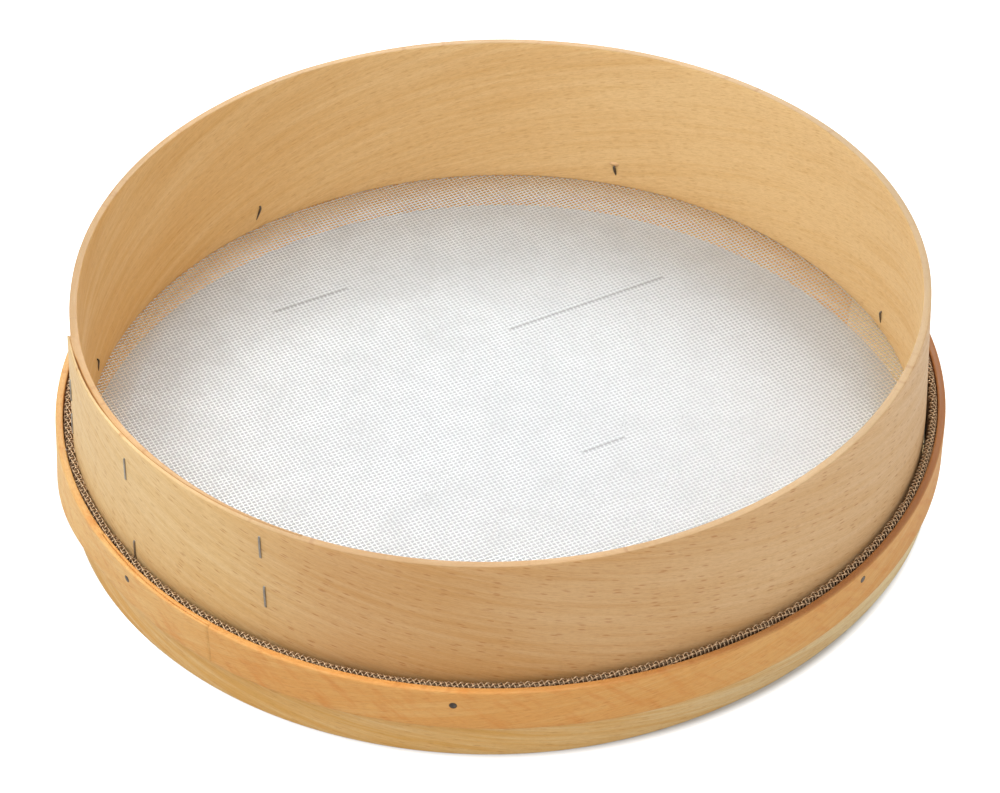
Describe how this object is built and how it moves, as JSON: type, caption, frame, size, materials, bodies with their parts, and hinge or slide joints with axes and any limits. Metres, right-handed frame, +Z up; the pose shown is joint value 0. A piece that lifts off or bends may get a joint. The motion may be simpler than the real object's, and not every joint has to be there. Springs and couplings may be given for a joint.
{
  "type": "tamis drum sieve",
  "caption": "Round wooden drum sieve: a tall bent hoop standing on a disc of woven wire cloth, gripped by a foot hoop and an outer clamp hoop with clinched nails.",
  "frame": {"origin": "middle of the drum's axis at the height of the foot hoop's resting edge", "axes": "+Z up along the drum's axis, from the foot's resting edge to the open rim; -Y towards the front, where two nail heads show and the drum's lap lies on the left"},
  "size_m": [0.4184, 0.4184, 0.106],
  "materials": {
    "drum_wood": "bare planed beech, bent, satin",
    "foot_wood": "bare planed beech, bent, satin",
    "clamp_wood": "bare planed beech, bent, satin",
    "wire_cloth": "drawn tinned wire, plain woven",
    "wire_hem": "drawn wire, rolled and dulled",
    "nail_steel": "dull drawn steel",
    "staple_steel": "galvanised wire"
  },
  "bodies": {
    "root": {"drum_hoop": "drum_wood", "foot_hoop": "foot_wood", "clamp_hoop": "clamp_wood", "wire_cloth": "wire_cloth", "cloth_hem": "wire_hem", "hoop_nail_1": "nail_steel", "hoop_nail_2": "nail_steel", "hoop_nail_3": "nail_steel", "hoop_nail_4": "nail_steel", "hoop_nail_5": "nail_steel", "hoop_nail_6": "nail_steel", "hoop_nail_7": "nail_steel", "lap_staple_outer_top": "staple_steel", "lap_staple_outer_low": "staple_steel", "lap_staple_middle_top": "staple_steel", "lap_staple_middle_low": "staple_steel", "lap_staple_inner_top": "staple_steel", "lap_staple_inner_low": "staple_steel"}
  },
  "joints": []
}
